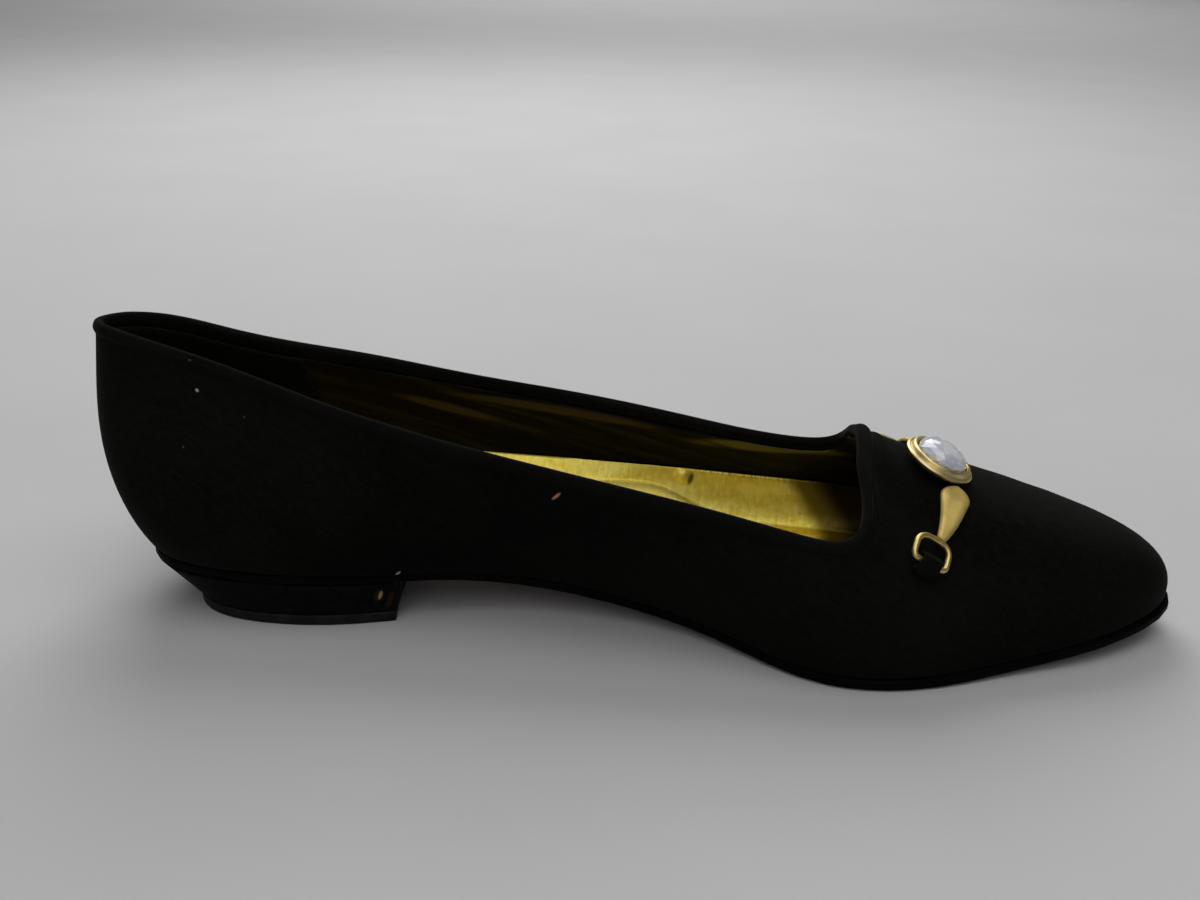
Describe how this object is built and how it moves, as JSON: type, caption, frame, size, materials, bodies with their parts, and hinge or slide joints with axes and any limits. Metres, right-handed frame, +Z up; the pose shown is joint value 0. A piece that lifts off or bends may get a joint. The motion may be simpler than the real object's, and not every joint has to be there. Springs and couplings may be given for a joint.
{
  "type": "flat shoe",
  "caption": "Low-heeled suede slip-on for the left foot: a hollow upper with a squared throat, a thin sole, a covered heel and a jewelled metal bit across the vamp.",
  "frame": {"origin": "on the floor, under the middle of the shoe's bounding box", "axes": "+X towards the toe, +Y towards the outer side of the foot, +Z up"},
  "size_m": [0.255, 0.077, 0.0677],
  "materials": {
    "suede": "black suede with a short nap",
    "sole_leather": "dark, smooth, lightly worn",
    "heel_covering": "black covering, dull",
    "lift_rubber": "dull",
    "gold_sock": "gold metallic sock, satin",
    "satin_gold": "gold plate, brushed satin",
    "stone": "polished, milky white with a blue cast"
  },
  "bodies": {
    "root": {"upper": "suede", "outsole": "sole_leather", "heel": "heel_covering", "top_lift": "lift_rubber", "insole": "gold_sock", "medallion": "satin_gold", "crystal": "stone", "arm_inner": "satin_gold", "arm_outer": "satin_gold", "ring_inner": "satin_gold", "ring_outer": "satin_gold", "tab_inner": "suede", "tab_outer": "suede"}
  },
  "joints": []
}
